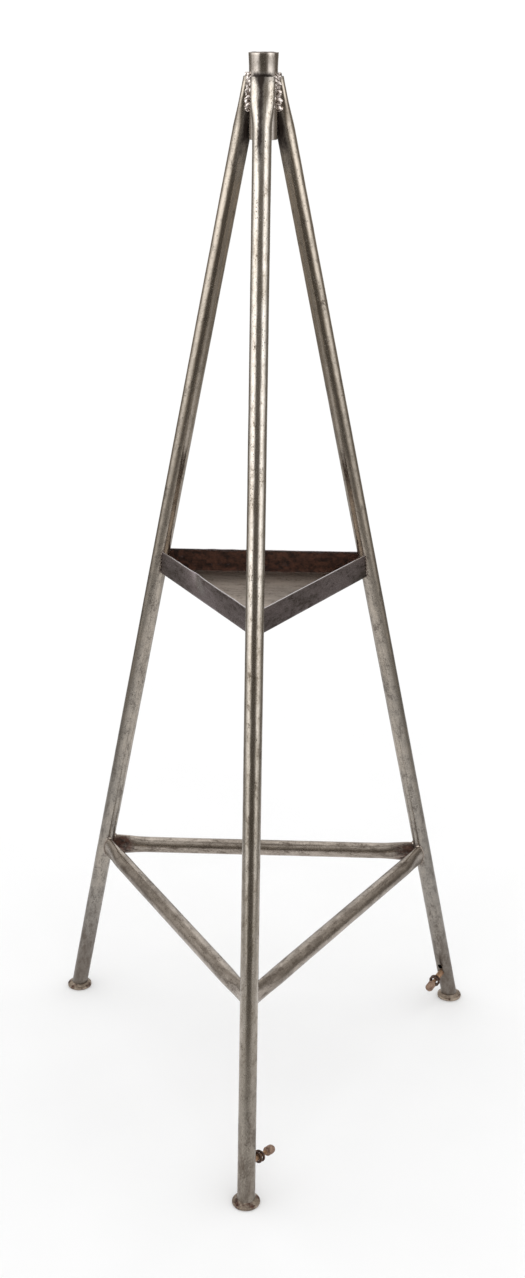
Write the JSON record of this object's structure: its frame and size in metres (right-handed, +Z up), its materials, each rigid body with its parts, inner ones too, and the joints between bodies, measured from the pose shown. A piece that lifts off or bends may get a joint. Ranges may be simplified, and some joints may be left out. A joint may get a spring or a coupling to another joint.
{
  "type": "tripod stand",
  "caption": "Welded tubular steel floor tripod with an open top socket for an upright post, a shallow triangular tray at mid height and a low brace ring.",
  "frame": {"origin": "on the floor, in the middle of the footprint's box; the tripod's own axis stands 91.5 mm towards +Y from it", "axes": "+Z up, the front leg points along -Y, and the stand is mirror-like about the YZ plane apart from the two studs"},
  "size_m": [0.674, 0.589, 1.5276],
  "materials": {
    "tube": "bare tube, worn bright in streaks, with brown mottling and pits",
    "sheet": "browned bare sheet with bright worn edges",
    "foot": "rust-stained bare steel",
    "bolt": "light orange rust",
    "nut": "matt brown rust",
    "spring": "near-black scale",
    "weld": "rippled bare weld metal"
  },
  "bodies": {
    "stand": {"socket_tube": "tube", "leg_front": "tube", "leg_right": "tube", "leg_left": "tube", "foot_front": "foot", "foot_right": "foot", "foot_left": "foot", "brace_back": "tube", "brace_left": "tube", "brace_right": "tube", "tray_wall_back": "sheet", "tray_wall_left": "sheet", "tray_wall_right": "sheet", "tray_floor": "sheet", "stud_front": "bolt", "stud_right": "bolt"},
    "front_washer": {"spring_washer_front": "spring"},
    "front_nut": {"cap_nut_front": "nut"},
    "right_washer": {"spring_washer_right": "spring"},
    "right_nut": {"cap_nut_right": "nut"}
  },
  "joints": [
    {"name": "front_washer_travel", "type": "slide", "parent": "stand", "child": "front_washer", "axis": [0.5545, 0.811, -0.1865], "range_m": [-0.00383, 0.01018]},
    {"name": "front_nut_turn", "type": "hinge", "parent": "front_washer", "child": "front_nut", "pos_m": [0, -0.26231, 0.057], "axis": [0.5545, 0.811, -0.1865], "range_deg": [-1080, 2880]},
    {"name": "right_washer_travel", "type": "slide", "parent": "stand", "child": "right_washer", "axis": [-0.5014, -0.8425, -0.1967], "range_m": [0, 0.01399]},
    {"name": "right_nut_turn", "type": "hinge", "parent": "right_washer", "child": "right_nut", "pos_m": [0.30641, 0.26841, 0.057], "axis": [-0.5014, -0.8425, -0.1967], "range_deg": [0, 3960]}
  ],
  "couplings": [
    {"joint": "front_washer_travel", "follows": "front_nut_turn", "m_per_rad": 0.00020213},
    {"joint": "right_washer_travel", "follows": "right_nut_turn", "m_per_rad": 0.00020213}
  ]
}
